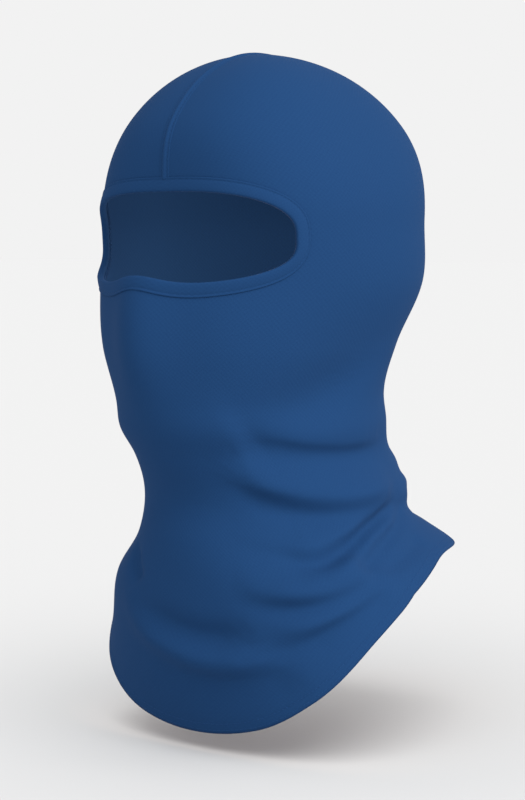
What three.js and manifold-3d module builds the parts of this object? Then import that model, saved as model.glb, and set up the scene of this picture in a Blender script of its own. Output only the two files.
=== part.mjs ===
// A thin knit balaclava in the shape it takes on a head: one panel of stretch knit closed by a seam
// from the brow over the crown and down the nape, a bound eye opening and a turned bottom hem.
// Millimetres, +Z up, the face towards -Y, +X to the wearer's left. The origin is the inside of the
// crown, where the top of the head touches it.
import * as THREE from "three";
import { ParametricGeometry } from "three/addons/geometries/ParametricGeometry.js";
import { mergeVertices } from "three/addons/utils/BufferGeometryUtils.js";
import Module from "manifold-3d";

const wasm = await Module();
wasm.setup();

// Driving dimensions of the head form that the inside of the knit lies on. Each level gives how far it
// is below the crown, how far the form reaches forwards, backwards and to each side of the crown, how
// far behind the crown it is widest, how far the ridge of the nose stands out of it, and how much
// fuller than an ellipse its front and its rear corners are.
const LEVELS = [
  { drop: 36, front: 91, back: 108, side: 75, widest: 12, ridge: 0, full: 0.09, rear: 0.05 }, // forehead
  { drop: 88, front: 83, back: 103, side: 78, widest: 12, ridge: 0, full: 0.11, rear: 0 }, // brow
  { drop: 123, front: 98, back: 102, side: 77, widest: 13, ridge: 8, full: 0.04, rear: 0 }, // cheekbones
  { drop: 158, front: 98, back: 77, side: 66, widest: 7, ridge: 12, full: 0.08, rear: 0.04 }, // mouth
  { drop: 187, front: 95, back: 78, side: 60, widest: 2, ridge: 5, full: 0.04, rear: 0 }, // chin
  { drop: 201, front: 91, back: 82, side: 59, widest: 1, ridge: 3, full: 0.05, rear: 0.01 }, // under the chin
  { drop: 216, front: 83, back: 89, side: 57, widest: 0, ridge: 1, full: 0.01, rear: 0 }, // throat
  { drop: 240, front: 72, back: 108, side: 59, widest: 1, ridge: 0, full: 0, rear: 0 }, // neck
  { drop: 261, front: 75, back: 120, side: 65, widest: 8, ridge: 0, full: 0, rear: 0 }, // base of the neck
  { drop: 284, front: 75, back: 146, side: 85, widest: 17, ridge: 0, full: 0.03, rear: 0.06 }, // shoulders
  { drop: 317, front: 73, back: 176, side: 99, widest: 15, ridge: 0, full: -0.01, rear: 0.05 }, // collarbones
  { drop: 376, front: 55, back: 229, side: 129, widest: 18, ridge: 0, full: -0.01, rear: 0.05 }, // chest
];
const RIDGE_WIDTH = 19;
const CROWN_RISE = 88;

// The bottom edge: how far below the crown it lies, by the angle round from the front.
const HEM = [
  { degrees: 0, drop: 366 },
  { degrees: 20, drop: 360 },
  { degrees: 40, drop: 343 },
  { degrees: 80, drop: 301 },
  { degrees: 110, drop: 280 },
  { degrees: 140, drop: 277 },
  { degrees: 180, drop: 263 },
];
const HEM_DEPTH = 7;

// The eye opening, measured inside its binding, and how far its lower edge lifts over the nose.
const EYE_WIDTH = 131;
const EYE_HEIGHT = 48;
const EYE_DROP = 100;
const EYE_CORNERS = 3;
const NOSE_LIFT = 4;
const NOSE_LIFT_WIDTH = 17;

// Materials' thicknesses and trims.
const KNIT = 1;
const BINDING_KNIT = 0.7;
const BINDING_DEPTH = 7.6;
const THREAD = 0.5;
const NEEDLE_SPACING = 3.8;
const NEEDLE_INSET = 1.1;
const COVER_WIDTH = 5;
const COVER_THICKNESS = 0.4;
const LABEL_WIDTH = 18;
const LABEL_LENGTH = 32;
const LABEL_THICKNESS = 0.5;
const LABEL_DROP = 192;
const SEWN_GAP = 0.75;
const TRIM_ROOM = 0.3;
const OUTSIDE = KNIT + SEWN_GAP;
const INSIDE = -SEWN_GAP;

// How finely the faceted surfaces are divided.
const PANEL_AROUND = 52;
const FACE_DIVISION = 0.35;
const CROWN_ROWS = 12;
const BODY_ROWS = 20;
const CROWN_SHARE = CROWN_ROWS / (CROWN_ROWS + BODY_ROWS);
const SEAM_STEPS = 60;
const EYE_STEPS = 64;
const HEM_STEPS = 56;
const LABEL_STEPS = 4;

const QUARTER = Math.PI / 2;
const SMALL = 1e-3;

// A smooth curve through rows of values, level at its start and, where asked, at its end.
function smoothRows(positions, rows, levelEnd) {
  const size = rows[0].length;
  const curve = new THREE.CubicInterpolant(positions, rows.flat(), size, new Float64Array(size));
  curve.settings = {
    endingStart: THREE.ZeroSlopeEnding,
    endingEnd: levelEnd ? THREE.ZeroSlopeEnding : THREE.ZeroCurvatureEnding,
  };
  return (position) => curve.evaluate(position);
}

const levelRow = (level) => {
  const { front, back, side, widest, ridge, full, rear } = level;
  return [front, back, side, widest, ridge, full, rear];
};
const formAt = smoothRows(LEVELS.map((level) => level.drop), LEVELS.map(levelRow), false);
const hemCurve = smoothRows(HEM.map((stop) => stop.degrees), HEM.map((stop) => [stop.drop]), true);

// The drop of the bottom edge at an angle round from the front.
function hemDrop(angle) {
  const turned = Math.abs(Math.atan2(Math.sin(angle), Math.cos(angle)));
  return hemCurve(THREE.MathUtils.radToDeg(turned))[0];
}

// A point of the head form at an angle round from the front, towards the wearer's left.
function formPoint(angle, drop) {
  const [front, back, side, widest, ridge, full, rear] = formAt(Math.max(drop, LEVELS[0].drop));
  const below = Math.min(drop / CROWN_RISE, 1);
  const spread = Math.sqrt(Math.max(1 - (1 - below) ** 2, 0));
  const ahead = Math.cos(angle) > 0;
  const reach = ahead ? front + widest : back - widest;
  const fuller = 1 + (ahead ? full : rear) * Math.sin(2 * angle) ** 2;
  const x = side * spread * Math.sin(angle) * fuller;
  const y = spread * (widest - reach * Math.cos(angle) * fuller);
  const nose = ahead && drop > CROWN_RISE ? ridge * Math.exp(-((x / RIDGE_WIDTH) ** 2)) : 0;
  return new THREE.Vector3(x, y - nose, -drop);
}

// The outward direction square to the form.
function formNormal(angle, drop) {
  if (drop < SMALL) return new THREE.Vector3(0, 0, 1);
  const round = formPoint(angle + SMALL, drop).sub(formPoint(angle - SMALL, drop));
  const down = formPoint(angle, drop + SMALL).sub(formPoint(angle, Math.max(drop - SMALL, 0)));
  return down.cross(round).normalize();
}

// A point of the cloth, lifted off the form by some millimetres.
function clothPoint(angle, drop, lift) {
  return formPoint(angle, drop).addScaledVector(formNormal(angle, drop), lift);
}

// The drop at a share of the way from the crown to the bottom edge.
function dropAlong(share, angle) {
  if (share < CROWN_SHARE) return CROWN_RISE * (1 - Math.cos((QUARTER * share) / CROWN_SHARE));
  const lower = (share - CROWN_SHARE) / (1 - CROWN_SHARE);
  return THREE.MathUtils.lerp(CROWN_RISE, hemDrop(angle), lower);
}

// Six times the volume inside a list of triangles, negative where they face inwards.
function signedVolume(position, corners) {
  const [a, b, c] = [new THREE.Vector3(), new THREE.Vector3(), new THREE.Vector3()];
  let sum = 0;
  for (let i = 0; i < corners.length; i += 3) {
    a.fromBufferAttribute(position, corners[i]);
    b.fromBufferAttribute(position, corners[i + 1]);
    c.fromBufferAttribute(position, corners[i + 2]);
    sum += a.dot(b.cross(c));
  }
  return sum;
}

// A closed surface from place(around, along), each from 0 to 1, with its collapsed triangles left out
// and its faces turned outwards.
function closedSurface(place, around, along) {
  const set = (u, v, target) => target.copy(place(u, v));
  const sheet = new ParametricGeometry(set, around, along);
  sheet.deleteAttribute("normal");
  sheet.deleteAttribute("uv");
  const merged = mergeVertices(sheet, SMALL / 10);
  const corners = merged.index.array;
  const kept = [];
  for (let i = 0; i < corners.length; i += 3) {
    const [a, b, c] = corners.subarray(i, i + 3);
    if (a !== b && b !== c && c !== a) kept.push(a, b, c);
  }
  if (signedVolume(merged.attributes.position, kept) < 0) kept.reverse();
  merged.setIndex(kept);
  return merged;
}

// A section of [across, lift] points carried along place(at, across, lift): a closed ring, or a length
// whose two ends are closed over.
function sweep(place, section, steps, isRing) {
  const pointOf = (u) => section[Math.round(u * section.length) % section.length];
  if (isRing) {
    const ringPlace = (u, v) => place(v % 1, ...pointOf(u));
    return closedSurface(ringPlace, section.length, steps);
  }
  const middle = [0, 1].map((axis) => section.reduce((sum, p) => sum + p[axis], 0) / section.length);
  const rows = steps + 2;
  const lengthPlace = (u, v) => {
    const row = Math.round(v * rows);
    const at = THREE.MathUtils.clamp((row - 1) / steps, 0, 1);
    return row === 0 || row === rows ? place(at, ...middle) : place(at, ...pointOf(u));
  };
  return closedSurface(lengthPlace, section.length, rows);
}

// The sections: a flat strip between two lifts, and a thread.
function stripSection(width, low, high) {
  return [[-width / 2, low], [width / 2, low], [width / 2, high], [-width / 2, high]];
}

function threadSection(across, low) {
  const half = THREAD / 2;
  return [[across, low], [across + half, low + half], [across, low + THREAD], [across - half, low + half]];
}

function solidOf(geometry) {
  const vertProperties = new Float32Array(geometry.attributes.position.array);
  const triVerts = new Uint32Array(geometry.index.array);
  return new wasm.Manifold(new wasm.Mesh({ numProp: 3, vertProperties, triVerts }));
}

function geometryOf(solid) {
  const { vertProperties, triVerts } = solid.getMesh();
  const geometry = new THREE.BufferGeometry();
  geometry.setAttribute("position", new THREE.BufferAttribute(vertProperties, 3));
  geometry.setIndex(new THREE.BufferAttribute(triVerts, 1));
  return geometry;
}

// The angle round from the front at which the form is a given distance from the middle plane.
function angleAcross(x, drop) {
  let low = -QUARTER;
  let high = QUARTER;
  while (high - low > SMALL / 10) {
    const middle = (low + high) / 2;
    if (formPoint(middle, drop).x < x) low = middle;
    else high = middle;
  }
  return (low + high) / 2;
}

// The finished edge of the eye opening, once round from the wearer's left, as an angle and a drop. A
// share under 1 gives the same outline drawn in towards its middle.
function eyeEdge(at, share = 1) {
  const turn = 2 * Math.PI * at;
  const rounded = (value) => share * Math.sign(value) * Math.abs(value) ** (2 / EYE_CORNERS);
  const x = (EYE_WIDTH / 2) * rounded(Math.cos(turn));
  const rise = (EYE_HEIGHT / 2) * rounded(Math.sin(turn));
  const lift = rise < 0 ? NOSE_LIFT * Math.exp(-((x / NOSE_LIFT_WIDTH) ** 2)) : 0;
  const drop = EYE_DROP - rise - lift;
  return [angleAcross(x, drop), drop];
}

// A point beside the eye opening: across is how far it lies outside the edge, along the cloth.
function besideEye(at, across, lift) {
  const [angle, drop] = eyeEdge(at);
  const [aheadAngle, aheadDrop] = eyeEdge(at + SMALL);
  const [behindAngle, behindDrop] = eyeEdge(at - SMALL);
  const perRadian = formPoint(angle + SMALL, drop).distanceTo(formPoint(angle, drop)) / SMALL;
  const perDrop = formPoint(angle, drop + SMALL).distanceTo(formPoint(angle, drop)) / SMALL;
  const run = new THREE.Vector2((aheadAngle - behindAngle) * perRadian, (aheadDrop - behindDrop) * perDrop);
  run.normalize();
  return clothPoint(angle - (run.y * across) / perRadian, drop + (run.x * across) / perDrop, lift);
}

// A point beside the centre seam, which runs from the eye opening over the crown to the hem's back.
const SEAM_FRONT = EYE_DROP - EYE_HEIGHT / 2 - BINDING_DEPTH;
function besideSeam(from, to) {
  const arc = (drop) => (drop < CROWN_RISE ? CROWN_RISE * Math.acos(1 - drop / CROWN_RISE)
    : CROWN_RISE * QUARTER + drop - CROWN_RISE);
  const start = -arc(from);
  const end = arc(to);
  const dropAt = (length) => (length < CROWN_RISE * QUARTER
    ? CROWN_RISE * (1 - Math.cos(length / CROWN_RISE)) : length - CROWN_RISE * (QUARTER - 1));
  return (at, across, lift) => {
    const place = THREE.MathUtils.lerp(start, end, at);
    const point = clothPoint(place < 0 ? 0 : Math.PI, dropAt(Math.abs(place)), lift);
    point.x = -across;
    return point;
  };
}

// A point above the bottom edge: across is how far up the cloth it lies.
function aboveHem(at, across, lift) {
  const angle = 2 * Math.PI * at;
  const drop = hemDrop(angle);
  const perDrop = formPoint(angle, drop).distanceTo(formPoint(angle, drop - 1));
  return clothPoint(angle, drop - across / perDrop, lift);
}

// The solid that the panel loses at the eye opening: it reaches through the cloth and ends where the
// binding's fold leaves room for the panel's raw edge.
function eyeCutter() {
  const depth = BINDING_DEPTH;
  const rawEdge = BINDING_KNIT + SEWN_GAP;
  const inwards = [1, 0.8, 0.6, 0.4, 0.2, 0];
  const outer = inwards.map((share) => [share, depth]);
  const inner = inwards.map((share) => [share, -depth]);
  const rings = [...inner.reverse(), ...outer];
  const place = (u, v) => {
    const [share, lift] = rings[Math.round(v * (rings.length - 1))];
    if (share === 1) return besideEye(u % 1, rawEdge, lift);
    return clothPoint(...eyeEdge(u % 1, share), lift);
  };
  return solidOf(closedSurface(place, EYE_STEPS, rings.length - 1));
}

// The angles that divide the panel, closer together over the face than at the back.
function panelAngle(turn) {
  return 2 * Math.PI * turn - FACE_DIVISION * Math.sin(2 * Math.PI * turn);
}

// The panel: the inside of the knit from the crown down, the turned hem, and the outside back up.
function knitPanel() {
  const rows = CROWN_ROWS + BODY_ROWS;
  const profile = [];
  for (let row = 0; row < rows; row += 1) profile.push({ share: row / rows, lift: 0, above: HEM_DEPTH });
  profile.push({ share: 1, lift: 0, above: HEM_DEPTH });
  profile.push({ share: 1, lift: -KNIT, above: HEM_DEPTH });
  profile.push({ share: 1, lift: -KNIT, above: 0 });
  profile.push({ share: 1, lift: KNIT, above: 0 });
  for (let row = rows; row >= 0; row -= 1) profile.push({ share: row / rows, lift: KNIT, above: HEM_DEPTH });
  const place = (u, v) => {
    const { share, lift, above } = profile[Math.round(v * (profile.length - 1))];
    const angle = panelAngle(u % 1);
    if (share === 1) return aboveHem(angle / (2 * Math.PI), above, lift);
    const hem = hemDrop(angle);
    const scale = (hem - HEM_DEPTH - CROWN_RISE) / (hem - CROWN_RISE);
    const drop = dropAlong(share, angle);
    return clothPoint(angle, drop > CROWN_RISE ? CROWN_RISE + (drop - CROWN_RISE) * scale : drop, lift);
  };
  const whole = solidOf(closedSurface(place, PANEL_AROUND, profile.length - 1));
  return geometryOf(whole.subtract(eyeCutter()).subtract(solidOf(eyeBinding(TRIM_ROOM))));
}

// The binding: a strip of knit folded over the raw edge of the eye opening, one leg on each side. Its
// legs may be grown towards the panel, which gives the room that the panel's facets leave for it.
function eyeBinding(grown = 0) {
  const inner = grown - SEWN_GAP;
  const outer = KNIT + SEWN_GAP - grown;
  const section = [
    [BINDING_DEPTH + grown, outer],
    [BINDING_DEPTH + grown, OUTSIDE + BINDING_KNIT],
    [BINDING_KNIT, OUTSIDE + BINDING_KNIT],
    [0, KNIT / 2],
    [BINDING_KNIT, INSIDE - BINDING_KNIT],
    [BINDING_DEPTH + grown, INSIDE - BINDING_KNIT],
    [BINDING_DEPTH + grown, inner],
    [BINDING_KNIT, inner],
    [BINDING_KNIT, outer],
  ];
  return sweep(besideEye, section, EYE_STEPS, true);
}

// Stitching: needle threads lie on the outside, and a flat cover of looped thread on the inside.
const seamPlace = besideSeam(SEAM_FRONT - SEWN_GAP, HEM.at(-1).drop - HEM_DEPTH - NEEDLE_SPACING);

function seamThread(side) {
  return sweep(seamPlace, threadSection((side * NEEDLE_SPACING) / 2, OUTSIDE), SEAM_STEPS, false);
}

function seamCover() {
  const section = stripSection(COVER_WIDTH, INSIDE - COVER_THICKNESS, INSIDE);
  return sweep(seamPlace, section, SEAM_STEPS, false);
}

function eyeThread() {
  const low = OUTSIDE + BINDING_KNIT + SEWN_GAP;
  return sweep(besideEye, threadSection(BINDING_DEPTH - NEEDLE_INSET, low), EYE_STEPS, true);
}

function eyeCover() {
  const high = INSIDE - BINDING_KNIT - SEWN_GAP;
  const half = (BINDING_DEPTH - BINDING_KNIT) / 2;
  const section = stripSection(half, high - COVER_THICKNESS, high);
  const place = (at, across, lift) => besideEye(at, across + half + BINDING_KNIT, lift);
  return sweep(place, section, EYE_STEPS, true);
}

function hemThread(row) {
  const up = HEM_DEPTH - NEEDLE_INSET - row * NEEDLE_SPACING;
  return sweep(aboveHem, threadSection(up, OUTSIDE), HEM_STEPS, true);
}

function hemCover() {
  const high = -KNIT - SEWN_GAP;
  const section = stripSection(COVER_WIDTH, high - COVER_THICKNESS, high);
  const place = (at, across, lift) => aboveHem(at, across + HEM_DEPTH - COVER_WIDTH / 2 - NEEDLE_INSET, lift);
  return sweep(place, section, HEM_STEPS, true);
}

// The care label hangs inside the nape, over the seam's cover.
function careLabel() {
  const high = INSIDE - COVER_THICKNESS - SEWN_GAP;
  const place = (at, across, lift) => {
    const point = clothPoint(Math.PI, LABEL_DROP + at * LABEL_LENGTH, lift);
    point.x = -across;
    return point;
  };
  return sweep(place, stripSection(LABEL_WIDTH, high - LABEL_THICKNESS, high), LABEL_STEPS, false);
}

const knitBlue = () => new THREE.MeshStandardMaterial({ color: 0x284a7c, roughness: 0.8, metalness: 0 });
const threadBlue = () => new THREE.MeshStandardMaterial({ color: 0x22406c, roughness: 0.6, metalness: 0 });
const labelGrey = () => new THREE.MeshStandardMaterial({ color: 0x9aa3ad, roughness: 0.5, metalness: 0 });

function part(name, geometry, material) {
  const mesh = new THREE.Mesh(geometry, material);
  mesh.name = name;
  return mesh;
}

const balaclava = new THREE.Group();
balaclava.add(
  part("knit_panel", knitPanel(), knitBlue()),
  part("eye_binding", eyeBinding(), knitBlue()),
  part("centre_seam_thread_left", seamThread(-1), threadBlue()),
  part("centre_seam_thread_right", seamThread(1), threadBlue()),
  part("centre_seam_cover_thread", seamCover(), threadBlue()),
  part("eye_binding_thread", eyeThread(), threadBlue()),
  part("eye_binding_cover_thread", eyeCover(), threadBlue()),
  part("hem_thread_upper", hemThread(0), threadBlue()),
  part("hem_thread_lower", hemThread(1), threadBlue()),
  part("hem_cover_thread", hemCover(), threadBlue()),
  part("care_label", careLabel(), labelGrey()),
);

export default balaclava;
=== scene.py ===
import math

import bmesh
import bpy
import numpy as np
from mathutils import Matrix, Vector


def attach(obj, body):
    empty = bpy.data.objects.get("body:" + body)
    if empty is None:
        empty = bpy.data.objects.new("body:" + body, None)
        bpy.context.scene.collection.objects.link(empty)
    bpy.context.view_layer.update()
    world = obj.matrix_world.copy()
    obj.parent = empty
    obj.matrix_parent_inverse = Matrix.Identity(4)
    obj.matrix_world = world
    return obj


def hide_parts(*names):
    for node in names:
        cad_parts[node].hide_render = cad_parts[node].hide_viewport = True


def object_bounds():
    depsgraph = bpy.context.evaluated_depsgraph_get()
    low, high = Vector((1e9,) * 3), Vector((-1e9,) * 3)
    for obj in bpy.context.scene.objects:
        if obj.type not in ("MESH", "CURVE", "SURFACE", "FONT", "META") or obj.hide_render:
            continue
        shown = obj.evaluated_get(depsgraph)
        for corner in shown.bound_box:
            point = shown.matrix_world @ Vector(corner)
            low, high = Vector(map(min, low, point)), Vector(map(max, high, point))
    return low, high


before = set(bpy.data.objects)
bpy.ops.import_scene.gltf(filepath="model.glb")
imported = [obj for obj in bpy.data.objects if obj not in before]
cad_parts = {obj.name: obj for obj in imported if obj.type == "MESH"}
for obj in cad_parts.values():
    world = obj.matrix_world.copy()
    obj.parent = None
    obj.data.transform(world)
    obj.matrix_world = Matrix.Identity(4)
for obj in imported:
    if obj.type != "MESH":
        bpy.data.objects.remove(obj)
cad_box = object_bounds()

# ---------------------------------------------------------------------------------------------------
# The knit panel. One piece of thin stretch jersey, on the fold below the chin and closed by a seam over
# the crown and down the nape. It is stretched smooth over the head and gathers into soft folds round
# the neck, where it is wider than what it lies on. Its bottom edge is turned up inside and stitched.
# ---------------------------------------------------------------------------------------------------
MM = 0.001
KNIT = 1.0            # the room that the cloth takes, in millimetres, as every size below
WALL = 0.9            # the cloth itself
HEM_DEPTH = 7.0
AROUND = 232          # columns of faces round the head
DOWN = 190            # rows of faces from the crown to the bottom edge
CROWN_SHARE = 0.26    # how much of the rows lie above the brow

# Levels of the head form: drop below the crown, reach forwards, backwards and sideways, how far behind
# the crown it is widest, the ridge of the nose, and how much fuller than an ellipse it is in front and
# behind.
LEVELS = np.array([
    [36, 91, 108, 75, 12, 0, 0.09, 0.05],     # forehead
    [88, 83, 103, 78, 12, 0, 0.11, 0],        # brow
    [123, 98, 102, 77, 13, 8, 0.04, 0],       # cheekbones
    [158, 98, 77, 66, 7, 12, 0.08, 0.04],     # mouth
    [187, 95, 78, 60, 2, 5, 0.04, 0],         # chin
    [201, 91, 82, 59, 1, 3, 0.05, 0.01],      # under the chin
    [216, 83, 89, 57, 0, 1, 0.01, 0],         # throat
    [240, 72, 108, 59, 1, 0, 0, 0],           # neck
    [261, 75, 120, 65, 8, 0, 0, 0],           # base of the neck
    [284, 75, 146, 85, 17, 0, 0.03, 0.06],    # shoulders
    [317, 73, 176, 99, 15, 0, -0.01, 0.05],   # collarbones
    [376, 55, 229, 129, 18, 0, -0.01, 0.05],  # chest
])
CROWN_RISE = 88.0     # the dome of the crown, from the brow up
RIDGE_WIDTH = 19.0    # of the nose
# The bottom edge hangs lowest in front: its drop at angles round from the front to the back.
HEM_DEGREES = np.array([0, 20, 40, 80, 110, 140, 180.0])
HEM_DROPS = np.array([366, 360, 343, 301, 280, 277, 263.0])


def smooth_rows(position, stops, values, level_end):
    """A smooth curve through values at stops, level at its start and, where asked, at its end."""
    slopes = np.gradient(values, stops)
    slopes[0] = 0
    if level_end:
        slopes[-1] = 0
    position = np.clip(position, stops[0], stops[-1])
    cell = np.clip(np.searchsorted(stops, position) - 1, 0, len(stops) - 2)
    width = stops[cell + 1] - stops[cell]
    t = (position - stops[cell]) / width
    rise = (3 - 2 * t) * t * t
    ends = values[cell] * (1 - rise) + values[cell + 1] * rise
    start_slope = slopes[cell] * t * (1 - t) ** 2
    end_slope = slopes[cell + 1] * t * t * (t - 1)
    return ends + width * (start_slope + end_slope)


def hem_drop(angle):
    """The drop of the bottom edge at an angle."""
    turned = np.degrees(np.abs(np.arctan2(np.sin(angle), np.cos(angle))))
    return smooth_rows(turned, HEM_DEGREES, HEM_DROPS, True)


def dome_spread(drop):
    """How wide the crown's dome is at a drop, as a share of its width at the brow."""
    below = np.clip(drop / CROWN_RISE, 0, 1)
    return np.sqrt(1 - (1 - below) ** 2)


def form_point(angle, drop):
    """A point of the head form at an angle round from the front, towards the wearer's left."""
    columns = [smooth_rows(drop, LEVELS[:, 0], LEVELS[:, k], False) for k in range(1, 8)]
    front, back, side, widest, ridge, full, rear = columns
    spread = dome_spread(drop)
    ahead = np.cos(angle) > 0
    reach = np.where(ahead, front + widest, back - widest)
    fuller = 1 + np.where(ahead, full, rear) * np.sin(2 * angle) ** 2
    x = side * spread * np.sin(angle) * fuller
    y = spread * (widest - reach * np.cos(angle) * fuller)
    nose = np.where(ahead & (drop > CROWN_RISE), ridge * np.exp(-((x / RIDGE_WIDTH) ** 2)), 0)
    return np.stack([x, y - nose, -drop + 0 * angle], -1)


def form_normal(angle, drop):
    """The way that the head form faces at a point."""
    step = 1e-3
    drop = np.maximum(drop, 2 * step)
    around = form_point(angle + step, drop) - form_point(angle - step, drop)
    down = form_point(angle, drop + step) - form_point(angle, drop - step)
    normal = np.cross(down, around)
    return normal / np.linalg.norm(normal, axis=-1, keepdims=True)


# The folds, each a route of [degrees round from the front, drop] with how far it stands out (or sinks
# in), how wide it is on its upper and on its lower side, all in millimetres.
NECK_RADIUS = 75.0    # turns degrees round the neck into millimetres of cloth
FOLDS = [
    # under the jaw, from behind the ear to the throat, and the swell below it
    ([[112, 156], [86, 175], [68, 190], [51, 203], [38, 211]], -4.5, 18, 14),
    ([[36, 206], [56, 205], [74, 208], [92, 210], [122, 210]], 2.8, 11, 4.5),
    ([[22, 219], [40, 214], [61, 215], [76, 216], [94, 217], [132, 218]], -2.7, 13, 8),
    # the deep folds that gather at the nape
    ([[22, 219], [38, 226], [51, 232], [66, 237], [92, 239], [128, 235]], 5.6, 13, 7.5),
    ([[20, 219], [32, 228], [42, 237], [54, 243], [72, 248], [92, 248], [109, 245], [130, 240]], -2.4, 7, 7),
    ([[28, 254], [48, 262], [57, 265], [69, 262], [89, 253], [106, 246], [122, 241]], 4.6, 13, 4.5),
    ([[42, 270], [57, 273], [69, 269], [89, 259], [105, 252], [126, 244]], -3.6, 4, 4),
    ([[48, 280], [60, 279], [72, 273], [89, 265], [104, 258], [122, 250]], 3.8, 5.5, 3.5),
    ([[50, 284], [60, 282], [72, 276], [88, 269], [104, 260], [116, 254], [134, 246]], -2.8, 3.5, 4.5),
    ([[24, 281], [38, 286], [52, 286], [66, 281], [80, 274]], 4.6, 9, 4.5),
    ([[22, 291], [38, 293], [52, 291], [66, 286], [80, 278]], -3.2, 4, 6),
    ([[80, 279], [98, 274], [116, 268]], -2.2, 3, 5),
    ([[24, 308], [40, 304], [54, 297], [68, 289], [80, 282]], 3.2, 10, 5),
    ([[28, 322], [44, 312], [56, 303], [70, 293], [80, 287]], -2.6, 4, 10),
    # over the chest
    ([[-24, 296], [-10, 304], [2, 309], [13, 311], [30, 307]], -4.8, 8, 7),
    ([[-30, 288], [-18, 306], [-4, 316], [8, 322], [20, 322], [38, 314]], 5.2, 10, 8),
    ([[-12, 330], [8, 335], [22, 333], [42, 326]], -2.4, 6, 16),
    ([[-32, 268], [-25, 277], [-18, 286]], -3.6, 4, 5),
]
# The same again round the back, over the nape's middle.
NAPE_FOLDS = [
    ([[116, 224], [140, 228], [160, 226], [180, 227], [200, 226], [220, 228], [244, 224]], 2.4, 7, 6),
    ([[120, 241], [140, 241], [160, 242], [180, 243], [200, 242], [220, 241], [240, 241]], 2.8, 5, 4),
    ([[112, 251], [126, 253], [150, 256], [180, 258], [210, 256], [234, 253], [248, 251]], -3.8, 5, 8),
]
ROUTE_STEPS = 60
FADE_IN = 0.38        # the share of its route over which a fold rises from the cloth at its first end
FADE_OUT = 0.22       # and sinks back into it at its last
CALM_FROM = 58.0      # degrees round to the wearer's right at which the right's folds begin
CALM_TO = 84.0        # and at which they are whole
CHEST_REACH = 15      # folds that start nearer than this to the front's middle aren't repeated
RIGHT_LOWER = 4.0     # how much lower the right's folds lie
EDGE_CALM = 16.0      # over how much of the cloth above the bottom edge the doubled hem flattens the folds
EDGE_SHARE = 0.2      # how much of them is left at the edge itself


def ease(share):
    """A share from 0 to 1, made to start and end level."""
    share = np.clip(share, 0, 1)
    return share * share * (3 - 2 * share)


def fold_height(fold, around_mm, drop, flip):
    """How far one fold lifts the cloth at each point."""
    route, height, above, below = fold
    stops = np.linspace(0, 1, len(route))
    at = np.linspace(0, 1, ROUTE_STEPS)
    route = np.array(route, float)
    across = np.radians(smooth_rows(at, stops, route[:, 0], False)) * NECK_RADIUS * flip
    down = smooth_rows(at, stops, route[:, 1], False)
    gap_x = around_mm[:, None] - across[None, :]
    gap_y = drop[:, None] - down[None, :]
    distance = np.hypot(gap_x, gap_y)
    nearest = distance.argmin(1)
    rows = np.arange(len(drop))
    near = distance[rows, nearest]
    side = gap_y[rows, nearest]
    width = np.where(side < 0, above, below)
    along = at[nearest]
    fade = ease(np.minimum(along / FADE_IN, (1 - along) / FADE_OUT))
    return height * np.exp(-((near / width) ** 2)) * fade


def fold_lift(angle, drop):
    """All the folds together. Those of the wearer's right repeat the left's, a little lower and only
    round the side, because the front of that side lies flat."""
    turned = np.arctan2(np.sin(angle), np.cos(angle))
    around_mm = turned * NECK_RADIUS
    lift = np.zeros_like(drop)
    right = np.zeros_like(drop)
    for fold in FOLDS:
        lift += fold_height(fold, around_mm, drop, 1)
        if min(stop[0] for stop in fold[0]) > CHEST_REACH:
            right += fold_height(fold, around_mm, drop - RIGHT_LOWER, -1)
    lift += right * ease((-np.degrees(turned) - CALM_FROM) / (CALM_TO - CALM_FROM))
    behind_mm = np.mod(turned, 2 * math.pi) * NECK_RADIUS
    for fold in NAPE_FOLDS:
        lift += fold_height(fold, behind_mm, drop, 1)
    return lift * (EDGE_SHARE + (1 - EDGE_SHARE) * ease((hem_drop(angle) - drop) / EDGE_CALM))


def cloth_point(angle, drop, lift):
    """A point of the cloth in millimetres, lifted off the form, folds and all."""
    angle, drop, lift = np.broadcast_arrays(np.asarray(angle, float), drop, lift)
    shape = angle.shape
    flat_angle = angle.ravel()
    flat_drop = np.asarray(drop, float).ravel()
    height = lift.ravel() + fold_lift(flat_angle, flat_drop)
    point = form_point(flat_angle, flat_drop) + form_normal(flat_angle, flat_drop) * height[:, None]
    return point.reshape(shape + (3,))


HALVINGS = 30


def angle_across(x, drop):
    """The angle round from the front at which the form is x from the middle plane."""
    low = np.full(np.shape(x), -math.pi / 2)
    high = -low
    for _ in range(HALVINGS):
        middle = (low + high) / 2
        short = form_point(middle, drop)[..., 0] < x
        low = np.where(short, middle, low)
        high = np.where(short, high, middle)
    return (low + high) / 2


EYE_WIDTH = 131.0
EYE_HEIGHT = 48.0
EYE_DROP = 100.0          # of the opening's middle
EYE_CORNERS = 3.0         # the power of the outline: 2 is an ellipse, more is squarer
NOSE_LIFT = 4.0           # how far the lower edge rises over the nose
NOSE_LIFT_WIDTH = 17.0
EYE_REACH = 75            # degrees round from the front that the opening stays within
RAW_EDGE = 2.0            # how far outside the finished edge the panel is cut
SIDE_SHARE = 0.8          # how much of a step along the cloth still goes sideways at the opening's corners


def nose_rise(x):
    """How far the lower edge is lifted at a distance from the middle plane."""
    return NOSE_LIFT * np.exp(-((x / NOSE_LIFT_WIDTH) ** 2))


def corner_rounding(value):
    """A sine or a cosine, drawn out so that an ellipse gets squarer corners."""
    return np.sign(value) * np.abs(value) ** (2 / EYE_CORNERS)


def eye_edge(at):
    """The finished edge of the eye opening, once round from the wearer's left."""
    turn = 2 * math.pi * np.asarray(at)
    x = EYE_WIDTH / 2 * corner_rounding(np.cos(turn))
    rise = EYE_HEIGHT / 2 * corner_rounding(np.sin(turn))
    drop = EYE_DROP - rise - np.where(rise < 0, nose_rise(x), 0)
    return angle_across(x, drop), drop


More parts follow.
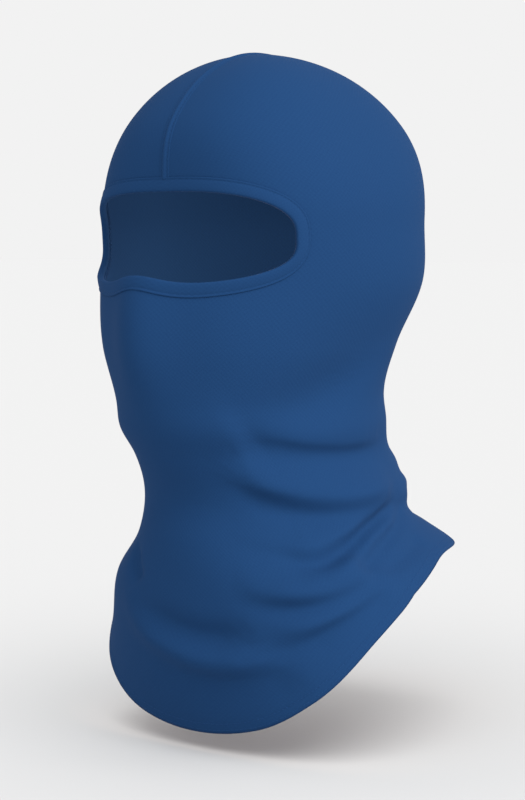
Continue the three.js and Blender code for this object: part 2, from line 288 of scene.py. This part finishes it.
def inside_raw_edge(angle, drop):
    """Whether points lie where the panel is cut away for the eyes."""
    x = form_point(angle, drop)[:, 0]
    lift = np.where(drop > EYE_DROP, nose_rise(x), 0)
    wide = np.abs(x) / (EYE_WIDTH / 2 + RAW_EDGE * SIDE_SHARE)
    high = np.abs(drop + lift - EYE_DROP) / (EYE_HEIGHT / 2 + RAW_EDGE)
    return (np.abs(np.degrees(angle)) < EYE_REACH) & (wide**EYE_CORNERS + high**EYE_CORNERS < 1)


def drop_along(share, angle):
    """The drop at a share of the way from the crown to the bottom edge."""
    dome = CROWN_RISE * (1 - np.cos(math.pi / 2 * np.minimum(share / CROWN_SHARE, 1)))
    lower = np.clip((share - CROWN_SHARE) / (1 - CROWN_SHARE), 0, 1)
    return np.where(share < CROWN_SHARE, dome, CROWN_RISE + (hem_drop(angle) - CROWN_RISE) * lower)


def finished(name, bm, material):
    """A piece from a bmesh in millimetres, smooth, on the one body."""
    mesh = bpy.data.meshes.new(name)
    bmesh.ops.scale(bm, vec=(MM, MM, MM), verts=bm.verts)
    bm.to_mesh(mesh)
    bm.free()
    mesh.shade_smooth()
    piece = bpy.data.objects.new(name, mesh)
    bpy.context.scene.collection.objects.link(piece)
    mesh.materials.append(material)
    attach(piece, "root")
    return piece


def linear(hex_colour):
    """An sRGB hex colour as the linear colour that a shader takes."""
    channels = [int(hex_colour[k:k + 2], 16) / 255 for k in (1, 3, 5)]
    return [c / 12.92 if c <= 0.04045 else ((c + 0.055) / 1.055) ** 2.4 for c in channels] + [1.0]


def node(tree, kind, links=(), **settings):
    """Adds a node, sets its properties or its inputs by name, and links its inputs."""
    made = tree.nodes.new(kind)
    for key, value in settings.items():
        if hasattr(made, key):
            setattr(made, key, value)
        else:
            made.inputs[key.replace("_", " ")].default_value = value
    for socket, source in links:
        tree.links.new(source, made.inputs[socket])
    return made


KNIT_DARK = "#1b3b65"
KNIT_LIGHT = "#1e416c"
DOT_SPACING = 2.3         # millimetres
DOT_HEIGHT = 0.1          # millimetres
DOT_SHADE = 0.2           # how much of the change in colour follows the dots
FIBRES_PER_MM = 0.9       # clumps of fibres that took the dye alike


def dyed_knit():
    """Smooth jersey of fine textured polyester and elastane, piece dyed: matt, even in colour, with a
    bird's-eye of small dots. The real loops are 0.4 mm and too fine to show, so the dots are coarser."""
    material = bpy.data.materials.new("dyed_polyester_elastane_jersey")
    material.use_nodes = True
    tree = material.node_tree
    tree.nodes.clear()
    place = node(tree, "ShaderNodeUVMap", uv_map="cloth_mm")
    split = node(tree, "ShaderNodeSeparateXYZ", [(0, place.outputs[0])])
    waves = []
    for axis in (0, 1):
        turns = node(tree, "ShaderNodeMath", [(0, split.outputs[axis])], operation="MULTIPLY")
        turns.inputs[1].default_value = 2 * math.pi / DOT_SPACING
        waves.append(node(tree, "ShaderNodeMath", [(0, turns.outputs[0])], operation="SINE"))
    loops = node(tree, "ShaderNodeMath", [(0, waves[0].outputs[0]), (1, waves[1].outputs[0])],
                 operation="MULTIPLY")
    fibres = node(tree, "ShaderNodeTexNoise", [("Vector", place.outputs[0])], Scale=FIBRES_PER_MM,
                  Detail=3.0, Roughness=0.6)
    shade = node(tree, "ShaderNodeMath", [(0, loops.outputs[0]), (2, fibres.outputs["Fac"])],
                 operation="MULTIPLY_ADD")
    shade.inputs[1].default_value = DOT_SHADE
    colours = node(tree, "ShaderNodeValToRGB", [("Fac", shade.outputs[0])])
    colours.color_ramp.elements[0].color = linear(KNIT_DARK)
    colours.color_ramp.elements[1].color = linear(KNIT_LIGHT)
    bump = node(tree, "ShaderNodeBump", [("Height", loops.outputs[0])], Strength=0.15,
                Distance=DOT_HEIGHT * MM)
    shader = node(tree, "ShaderNodeBsdfPrincipled",
                  [("Base Color", colours.outputs["Color"]), ("Normal", bump.outputs["Normal"])],
                  Roughness=0.9, Specular_IOR_Level=0.05)
    node(tree, "ShaderNodeOutputMaterial", [("Surface", shader.outputs["BSDF"])])
    return material


HEAD_RADIUS = 80.0        # turns an angle over the head into millimetres of cloth


def cloth_uv(angle, drop, side):
    """Where the knit's wales and courses lie, in millimetres. Wales run up the sides, and over the crown
    each keeps its distance from the front until it meets the seam."""
    turned = np.abs(np.arctan2(np.sin(angle), np.cos(angle)))
    below = np.clip(drop / CROWN_RISE, 0, 1)
    spread = dome_spread(drop)
    wale = np.arccos(np.clip(spread * np.cos(turned), -1, 1))
    climb = np.arctan2(1 - below, np.maximum(spread * np.sin(turned), 1e-6)) * np.sin(wale)
    rise = np.where(drop < CROWN_RISE, climb * CROWN_RISE, CROWN_RISE - drop)
    return np.stack([side * wale * HEAD_RADIUS, rise], -1)


TURN_ROWS = 4             # more rows of faces, in the turned-up hem
TURN_IN = 1.7             # how far the turned-up cloth lies inside the outer face
TURN_IN_END = 0.4         # the share of those rows over which the cloth turns in
TURN_UP_FROM = 0.2        # and the share after which it goes up


def panel_mesh():
    """A grid wrapped round the head, open at the eyes, with its bottom edge turned up inside."""
    bm = bmesh.new()
    bmesh.ops.create_grid(bm, x_segments=AROUND, y_segments=DOWN + TURN_ROWS, size=0.5)
    grid = np.array([v.co[:2] for v in bm.verts]) + 0.5
    angle = 2 * math.pi * grid[:, 0] - math.pi
    row = grid[:, 1] * (DOWN + TURN_ROWS)
    turned = np.clip((row - DOWN) / TURN_ROWS, 0, 1)
    up = HEM_DEPTH * np.clip((turned - TURN_UP_FROM) / (1 - TURN_UP_FROM), 0, 1)
    drop = drop_along(np.clip(row / DOWN, 0, 1), angle) - up
    lift = KNIT - TURN_IN * np.minimum(turned / TURN_IN_END, 1)
    places = cloth_point(angle, drop, lift)
    uv_layer = bm.loops.layers.uv.new("cloth_mm")
    for face in bm.faces:
        corners = [loop.vert.index for loop in face.loops]
        side = 1.0 if angle[corners].mean() > 0 else -1.0
        for loop, uv in zip(face.loops, cloth_uv(angle[corners], drop[corners], side)):
            loop[uv_layer].uv = uv
    gone = inside_raw_edge(angle, drop)
    for vert, place in zip(bm.verts, places):
        vert.co = place
    bm.verts.ensure_lookup_table()
    bmesh.ops.delete(bm, geom=[bm.verts[k] for k in np.nonzero(gone)[0]], context="VERTS")
    bmesh.ops.remove_doubles(bm, verts=bm.verts, dist=0.02)
    bmesh.ops.recalc_face_normals(bm, faces=bm.faces)
    return bm


blue_knit = dyed_knit()
panel = finished("knit_panel_cloth", panel_mesh(), blue_knit)
wall = panel.modifiers.new("cloth_thickness", "SOLIDIFY")
wall.thickness = WALL * MM
wall.offset = -1
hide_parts("knit_panel")

# ---------------------------------------------------------------------------------------------------
# The eye binding. A strip of the same jersey folded over the raw edge of the eye opening and stitched
# through both legs, so that it swells a little between its fold and its row of stitches.
# ---------------------------------------------------------------------------------------------------
BINDING_DEPTH = 7.6
NEEDLE_INSET = 1.1    # of a row of stitches from the edge beside it
EYE_STEPS = 300       # round the opening


def beside_eye(at, across, lift):
    """A point beside the eye opening: across is how far it lies outside the edge, along the cloth."""
    at, across, lift = np.broadcast_arrays(np.asarray(at, float), across, lift)
    step = 1e-3
    angle, drop = eye_edge(at)
    ahead_angle, ahead_drop = eye_edge(at + step)
    behind_angle, behind_drop = eye_edge(at - step)
    here = form_point(angle, drop)
    per_radian = np.linalg.norm(form_point(angle + step, drop) - here, axis=-1) / step
    per_drop = np.linalg.norm(form_point(angle, drop + step) - here, axis=-1) / step
    run_x = (ahead_angle - behind_angle) * per_radian
    run_y = (ahead_drop - behind_drop) * per_drop
    length = np.hypot(run_x, run_y)
    out_angle = angle - run_y / length * across / per_radian
    out_drop = drop + run_x / length * across / per_drop
    return cloth_point(out_angle, out_drop, lift)


def path_length(place, steps=400):
    """The length of the line that a strip or a row of stitches is placed from."""
    spots = place(np.linspace(0, 1, steps), 0, 0)
    return np.linalg.norm(np.diff(spots, axis=0), axis=1).sum()


def ring_mesh(place, section, steps):
    """A closed section of [across, lift] points carried once round a closed path."""
    bm = bmesh.new()
    section = np.array(section, float)
    sides = len(section)
    bmesh.ops.create_grid(bm, x_segments=steps, y_segments=sides, size=0.5)
    grid = np.array([v.co[:2] for v in bm.verts]) + 0.5
    at = grid[:, 0]
    corner = np.round(grid[:, 1] * sides).astype(int) % sides
    places = place(at, section[corner, 0], section[corner, 1])
    uv_layer = bm.loops.layers.uv.new("cloth_mm")
    reach = np.concatenate([[0], np.cumsum(np.hypot(*np.diff(section, axis=0).T))])
    whole = path_length(place, steps)
    for face in bm.faces:
        for loop in face.loops:
            k = loop.vert.index
            loop[uv_layer].uv = (at[k] * whole, reach[corner[k]])
    for vert, spot in zip(bm.verts, places):
        vert.co = spot
    bmesh.ops.remove_doubles(bm, verts=bm.verts, dist=0.005)
    bmesh.ops.recalc_face_normals(bm, faces=bm.faces)
    return bm


stitch_line = BINDING_DEPTH - NEEDLE_INSET
# From the outer leg's edge, past its groove and over the fold to the inner leg, and back between them.
binding_section = [
    [BINDING_DEPTH + 0.15, KNIT - 0.1],
    [BINDING_DEPTH + 0.1, KNIT + 0.5],
    [BINDING_DEPTH - 0.2, KNIT + 0.7],
    [stitch_line + 0.3, KNIT + 0.65],
    [stitch_line, KNIT + 0.45],
    [stitch_line - 0.5, KNIT + 0.75],
    [stitch_line - 1.7, KNIT + 1.1],
    [2.9, KNIT + 1.45],
    [1.2, KNIT + 1.65],
    [0.4, KNIT + 1.45],
    [0.0, KNIT + 0.8],
    [0.0, KNIT / 2 - 0.1],
    [0.35, -0.5],
    [1.2, -0.9],
    [2.8, -1.1],
    [stitch_line - 0.5, -0.9],
    [stitch_line, -0.6],
    [BINDING_DEPTH, -0.7],
    [BINDING_DEPTH, -0.1],
    [3.0, -0.1],
    [2.2, KNIT / 2],
    [3.0, KNIT + 0.1],
]
binding = finished("eye_binding_strip", ring_mesh(beside_eye, binding_section, EYE_STEPS), blue_knit)
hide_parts("eye_binding")

# ---------------------------------------------------------------------------------------------------
# The eye binding's stitching. A needle row of polyester thread runs round the opening, sunk in a groove
# of the binding, and a cover of looped thread closes its stitches on the inside.
# ---------------------------------------------------------------------------------------------------
THREAD_BLUE = "#1f4473"
PLY = 0.4             # the length of thread that one turn of its plies takes
PLY_HEIGHT = 0.05


def sewing_thread():
    """Textured polyester sewing thread, fluffy and dull, with the twist of its plies."""
    material = bpy.data.materials.new("textured_polyester_thread")
    material.use_nodes = True
    tree = material.node_tree
    tree.nodes.clear()
    place = node(tree, "ShaderNodeTexCoord")
    plies = node(tree, "ShaderNodeTexNoise", [("Vector", place.outputs["Object"])],
                 Scale=1 / (PLY * MM), Detail=2.0)
    bump = node(tree, "ShaderNodeBump", [("Height", plies.outputs["Fac"])], Strength=0.3,
                Distance=PLY_HEIGHT * MM)
    shader = node(tree, "ShaderNodeBsdfPrincipled", [("Normal", bump.outputs["Normal"])],
                  Base_Color=linear(THREAD_BLUE), Roughness=0.8, Specular_IOR_Level=0.1)
    node(tree, "ShaderNodeOutputMaterial", [("Surface", shader.outputs["BSDF"])])
    return material


STITCH = 2.6          # its length
THREAD = 0.32         # its thickness
blue_thread = sewing_thread()


def thread_tube(name, points, closed):
    """A thread laid along points in millimetres."""
    curve = bpy.data.curves.new(name, "CURVE")
    curve.dimensions = "3D"
    curve.bevel_depth = THREAD / 2 * MM
    curve.bevel_resolution = 1
    spline = curve.splines.new("POLY")
    spline.points.add(len(points) - 1)
    spots = np.concatenate([np.array(points) * MM, np.ones((len(points), 1))], 1)
    spline.points.foreach_set("co", spots.ravel())
    spline.use_cyclic_u = closed
    loose = bpy.data.objects.new(name + "_route", curve)
    bpy.context.scene.collection.objects.link(loose)
    bpy.context.view_layer.update()
    mesh = bpy.data.meshes.new_from_object(loose.evaluated_get(bpy.context.evaluated_depsgraph_get()))
    bpy.data.objects.remove(loose)
    mesh.name = name
    mesh.materials.clear()
    mesh.materials.append(blue_thread)
    mesh.shade_smooth()
    piece = bpy.data.objects.new(name, mesh)
    bpy.context.scene.collection.objects.link(piece)
    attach(piece, "root")
    return piece


# One stitch of each kind of row: a share of its length with how far the needle thread lies off the
# cloth there, and with how far to one side the cover thread has gone, as a share of its width.
NEEDLE_STITCH = [(0.0, -0.5), (0.1, -0.12), (0.25, 0.02), (0.5, 0.05), (0.75, 0.02), (0.9, -0.12)]
COVER_STITCH = [(0.0, -0.5), (0.2, -0.42), (0.45, 0.5), (0.55, 0.5), (0.8, -0.42)]


def repeated(stitch, length):
    """A stitch repeated along a row: its places as shares of the row, and its second values."""
    count = round(length / STITCH)
    at = np.array([(k + part) / count for k in range(count) for part, _ in stitch])
    return at, np.array([value for _, value in stitch] * count)


def needle_row(place, across, surface, length):
    """A needle thread: it lies on the cloth for most of each stitch and dips through it between."""
    at, up = repeated(NEEDLE_STITCH, length)
    return place(at, across, surface + up)


def cover_row(place, middle, width, surface, length):
    """The looped thread on the inside, from one needle row to the other and back at each stitch."""
    at, side = repeated(COVER_STITCH, length)
    return place(at, middle + width * side, surface)


EYE_ROW_LIFT = KNIT + 0.35    # in the groove of the outer leg
EYE_COVER_AT = 3.9            # its middle, outside the opening's edge
EYE_COVER_WIDTH = 3.0
EYE_COVER_LIFT = -1.45        # on the inner leg
eye_length = path_length(beside_eye)
spots = needle_row(beside_eye, stitch_line, EYE_ROW_LIFT, eye_length)
eye_row = thread_tube("eye_binding_stitches", spots, True)
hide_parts("eye_binding_thread")
spots = cover_row(beside_eye, EYE_COVER_AT, EYE_COVER_WIDTH, EYE_COVER_LIFT, eye_length)
eye_loops = thread_tube("eye_binding_cover_stitches", spots, True)
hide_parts("eye_binding_cover_thread")

# ---------------------------------------------------------------------------------------------------
# The centre seam. The panel's two edges overlap from the brow over the crown to the back of the hem,
# and two needle rows with a cover of looped thread inside hold them flat: a low soft ridge between.
# ---------------------------------------------------------------------------------------------------
NEEDLE_SPACING = 3.8      # between the two needle rows
COVER_WIDTH = 4.6         # of the looped thread inside, a little past both rows
SEAM_STEPS = 420          # along the seam
UNDER_BINDING = 1.0       # how far the seam runs on under the edge of the eye binding
HEM_CLEAR = 0.5           # how far above the bottom edge it ends
SEAM_ROW_LIFT = KNIT + 0.12
SEAM_COVER_LIFT = -0.15   # on the inner face


def seam_place(first_drop, last_drop):
    """Places beside the middle line, from the front over the crown to the back."""
    quarter = CROWN_RISE * math.pi / 2

    def arc(drop):
        """How far along the middle line a drop is from the top of the crown."""
        if drop < CROWN_RISE:
            return CROWN_RISE * math.acos(1 - drop / CROWN_RISE)
        return quarter + drop - CROWN_RISE

    def place(at, across, lift):
        at, across, lift = np.broadcast_arrays(np.asarray(at, float), across, lift)
        along = -arc(first_drop) + at * (arc(first_drop) + arc(last_drop))
        far = np.abs(along)
        over = CROWN_RISE * (1 - np.cos(np.minimum(far, quarter) / CROWN_RISE))
        drop = np.where(far < quarter, over, far - quarter + CROWN_RISE)
        spots = cloth_point(np.where(along < 0, 0.0, math.pi), drop, lift)
        spots[..., 0] = -across
        return spots

    return place


def length_mesh(place, section, steps):
    """An open section of [across, lift] points carried from one end of a path to the other."""
    bm = bmesh.new()
    section = np.array(section, float)
    sides = len(section) - 1
    bmesh.ops.create_grid(bm, x_segments=steps, y_segments=sides, size=0.5)
    grid = np.array([v.co[:2] for v in bm.verts]) + 0.5
    corner = np.round(grid[:, 1] * sides).astype(int)
    places = place(grid[:, 0], section[corner, 0], section[corner, 1])
    uv_layer = bm.loops.layers.uv.new("cloth_mm")
    whole = path_length(place)
    for face in bm.faces:
        for loop in face.loops:
            k = loop.vert.index
            loop[uv_layer].uv = (section[corner[k], 0], grid[k, 0] * whole)
    for vert, spot in zip(bm.verts, places):
        vert.co = spot
    return bm


brow_end = EYE_DROP - EYE_HEIGHT / 2 - BINDING_DEPTH + UNDER_BINDING
on_seam = seam_place(brow_end, HEM_DROPS[-1] - HEM_CLEAR)
row_at = NEEDLE_SPACING / 2
# The swell between the rows, the grooves that they press into it, and the thin laps outside them.
ridge_section = [[-3.4, KNIT - 0.25], [-2.9, KNIT + 0.26], [-2.4, KNIT + 0.32], [-row_at, KNIT + 0.1],
                 [-1.3, KNIT + 0.4], [-0.7, KNIT + 0.88], [0, KNIT + 1.0], [0.7, KNIT + 0.88],
                 [1.3, KNIT + 0.4], [row_at, KNIT + 0.1], [2.4, KNIT + 0.32], [2.9, KNIT + 0.26],
                 [3.4, KNIT - 0.25]]
ridge = finished("centre_seam_overlap", length_mesh(on_seam, ridge_section, SEAM_STEPS), blue_knit)
seam_length = path_length(on_seam)
for side, word in ((-1, "left"), (1, "right")):
    spots = needle_row(on_seam, side * row_at, SEAM_ROW_LIFT, seam_length)
    row = thread_tube("centre_seam_stitches_" + word, spots, False)
    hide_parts("centre_seam_thread_" + word)
spots = cover_row(on_seam, 0, COVER_WIDTH, SEAM_COVER_LIFT, seam_length)
seam_loops = thread_tube("centre_seam_cover_stitches", spots, False)
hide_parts("centre_seam_cover_thread")

# ---------------------------------------------------------------------------------------------------
# The hem's stitching. Two needle rows run round the bottom edge through the turned-up cloth, and a
# cover of looped thread lies inside over the turned edge.
# ---------------------------------------------------------------------------------------------------
HEM_COVER_AT = HEM_DEPTH - 3.0    # its middle, above the bottom edge
HEM_COVER_LIFT = -1.75            # on the turned-up cloth


def above_hem(at, across, lift):
    """A point above the bottom edge: across is how far up the cloth it lies."""
    at, across, lift = np.broadcast_arrays(np.asarray(at, float), across, lift)
    angle = 2 * math.pi * at
    drop = hem_drop(angle)
    per_drop = np.linalg.norm(form_point(angle, drop) - form_point(angle, drop - 1), axis=-1)
    return cloth_point(angle, drop - across / per_drop, lift)


hem_length = path_length(above_hem)
for row_number, word in enumerate(("upper", "lower")):
    up = HEM_DEPTH - NEEDLE_INSET - row_number * NEEDLE_SPACING
    spots = needle_row(above_hem, up, KNIT, hem_length)
    row = thread_tube("hem_stitches_" + word, spots, True)
    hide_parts("hem_thread_" + word)
spots = cover_row(above_hem, HEM_COVER_AT, COVER_WIDTH, HEM_COVER_LIFT, hem_length)
hem_loops = thread_tube("hem_cover_stitches", spots, True)
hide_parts("hem_cover_thread")

# ---------------------------------------------------------------------------------------------------
# The care label. A blank tape of woven satin, caught in the centre seam at the inside of the nape. It
# hangs from its upper edge, and its free end curls a little away from the cloth.
# ---------------------------------------------------------------------------------------------------
LABEL_WIDTH = 18.0
LABEL_LENGTH = 32.0
LABEL_THICKNESS = 0.3
LABEL_DROP = 192.0        # of its upper edge
LABEL_INSET = 1.6         # how far inside the head form that edge lies, clear of the seam's thread
LABEL_CURL = 2.0          # how much further its free end does
TAPE_GREY = "#a4adb8"
WARP = 0.25               # the spacing of the warp's streaks
STREAK = 5.0              # and their length
WARP_HEIGHT = 0.05


def label_tape():
    """Woven polyester satin: smooth, with a soft streaky shine along its warp."""
    material = bpy.data.materials.new("woven_satin_tape")
    material.use_nodes = True
    tree = material.node_tree
    tree.nodes.clear()
    place = node(tree, "ShaderNodeTexCoord")
    streaks = (1 / (WARP * MM), 1 / (STREAK * MM), 1 / (STREAK * MM))
    stretched = node(tree, "ShaderNodeMapping", [("Vector", place.outputs["Object"])], Scale=streaks)
    warp = node(tree, "ShaderNodeTexNoise", [("Vector", stretched.outputs[0])], Scale=1.0)
    bump = node(tree, "ShaderNodeBump", [("Height", warp.outputs["Fac"])], Strength=0.25,
                Distance=WARP_HEIGHT * MM)
    shader = node(tree, "ShaderNodeBsdfPrincipled", [("Normal", bump.outputs["Normal"])],
                  Base_Color=linear(TAPE_GREY), Roughness=0.45)
    node(tree, "ShaderNodeOutputMaterial", [("Surface", shader.outputs["BSDF"])])
    return material


def label_mesh():
    """A grid hung down the inside of the nape, curling away from it."""
    bm = bmesh.new()
    bmesh.ops.create_grid(bm, x_segments=10, y_segments=16, size=0.5)
    grid = np.array([v.co[:2] for v in bm.verts])
    down = 0.5 - grid[:, 1]
    inside = LABEL_INSET + LABEL_CURL * down**2
    places = cloth_point(math.pi, LABEL_DROP + down * LABEL_LENGTH, -inside)
    for vert, spot, across in zip(bm.verts, places, grid[:, 0]):
        vert.co = (across * LABEL_WIDTH, spot[1], spot[2])
    return bm


label = finished("care_label_tape", label_mesh(), label_tape())
tape = label.modifiers.new("tape_thickness", "SOLIDIFY")
tape.thickness = LABEL_THICKNESS * MM
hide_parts("care_label")

# ---------------------------------------------------------------------------------------------------
# The studio: a matt pale floor a little below the bottom edge, an even pale backdrop, a long lens at
# the height of the eyes, and soft lights. Everything here is in metres.
# ---------------------------------------------------------------------------------------------------
FLOOR_GAP = 0.010
FLOOR_REACH = 30.0        # each way from the middle, past where its edge would show
FLOOR_GREY = "#d3d3d3"


def studio_floor():
    """Painted board: matt, with no shine even at a low angle."""
    material = bpy.data.materials.new("matt_white_studio_floor")
    material.use_nodes = True
    shader = material.node_tree.nodes["Principled BSDF"]
    shader.inputs["Base Color"].default_value = linear(FLOOR_GREY)
    shader.inputs["Roughness"].default_value = 0.95
    shader.inputs["Specular IOR Level"].default_value = 0.0
    return material


bm = bmesh.new()
bmesh.ops.create_grid(bm, x_segments=1, y_segments=1, size=FLOOR_REACH)
bmesh.ops.translate(bm, vec=(0, 0, cad_box[0][2] - FLOOR_GAP), verts=bm.verts)
floor_mesh = bpy.data.meshes.new("floor")
bm.to_mesh(floor_mesh)
bm.free()
floor_mesh.materials.append(studio_floor())
floor = bpy.data.objects.new("floor", floor_mesh)
bpy.context.scene.collection.objects.link(floor)

BACKDROP = "#f2f2f2"
world = bpy.data.worlds.new("studio")
bpy.context.scene.world = world
world.use_nodes = True
world.node_tree.nodes["Background"].inputs["Color"].default_value = linear(BACKDROP)

VIEW_AZIMUTH = math.radians(38)
VIEW_DISTANCE = 1.11
VIEW_HEIGHT = -0.105
VIEW_ASIDE = -0.0015
LENS = 89.5
AIM = Vector((0, 0.0025, -0.190))
ahead = Vector((math.sin(VIEW_AZIMUTH), -math.cos(VIEW_AZIMUTH), 0))
beside = Vector((math.cos(VIEW_AZIMUTH), math.sin(VIEW_AZIMUTH), 0)) * VIEW_ASIDE
spot = ahead * VIEW_DISTANCE + Vector((AIM.x, AIM.y, VIEW_HEIGHT)) + beside
camera_data = bpy.data.cameras.new("camera")
camera_data.lens = LENS
camera_data.sensor_width = 36
camera = bpy.data.objects.new("camera", camera_data)
bpy.context.scene.collection.objects.link(camera)
camera.location = spot
camera.rotation_euler = (AIM + beside - spot).to_track_quat("-Z", "Y").to_euler()
bpy.context.scene.camera = camera


def soft_light(name, toward, energy, spread):
    """A broad light from far off in one direction. Its spread is its width in degrees."""
    light = bpy.data.lights.new(name, "SUN")
    light.energy = energy
    light.angle = math.radians(spread)
    lamp = bpy.data.objects.new(name, light)
    bpy.context.scene.collection.objects.link(lamp)
    lamp.rotation_euler = toward.to_track_quat("Z", "Y").to_euler()
    return lamp


# The key comes from the wearer's left and from above. It doesn't reach the floor.
KEY_AZIMUTH = math.radians(88)
KEY_HEIGHT = math.radians(36)
toward_key = Vector((math.sin(KEY_AZIMUTH) * math.cos(KEY_HEIGHT),
                     -math.cos(KEY_AZIMUTH) * math.cos(KEY_HEIGHT), math.sin(KEY_HEIGHT)))
key = soft_light("key", toward_key, energy=2.55, spread=50)
key_lights = bpy.data.collections.new("key_lights")
key_lights.objects.link(floor)
key_lights.collection_objects[0].light_linking.link_state = "EXCLUDE"
key.light_linking.receiver_collection = key_lights

# The floor has an overhead light of its own, so that the shadow lies close below the hood.
OVERHEAD_TILT = math.radians(26)
toward_overhead = ahead * math.sin(OVERHEAD_TILT) + Vector((0, 0, math.cos(OVERHEAD_TILT)))
overhead = soft_light("overhead", toward_overhead, energy=1.68, spread=60)
floor_only = bpy.data.collections.new("floor_only")
floor_only.objects.link(floor)
overhead.light_linking.receiver_collection = floor_only

# A small lamp inside the hood stands for the light that thin cloth lets through.
LAMP_PLACE = (0, 0, -0.12)
inside_light = bpy.data.lights.new("inside_fill", "POINT")
inside_light.energy = 0.335
inside_light.color = (1.0, 0.76, 0.62)
inside_light.shadow_soft_size = 0.05
inside_lamp = bpy.data.objects.new("inside_fill", inside_light)
bpy.context.scene.collection.objects.link(inside_lamp)
inside_lamp.location = LAMP_PLACE
inside_lamp.visible_camera = False

bpy.context.scene.view_settings.view_transform = "Standard"
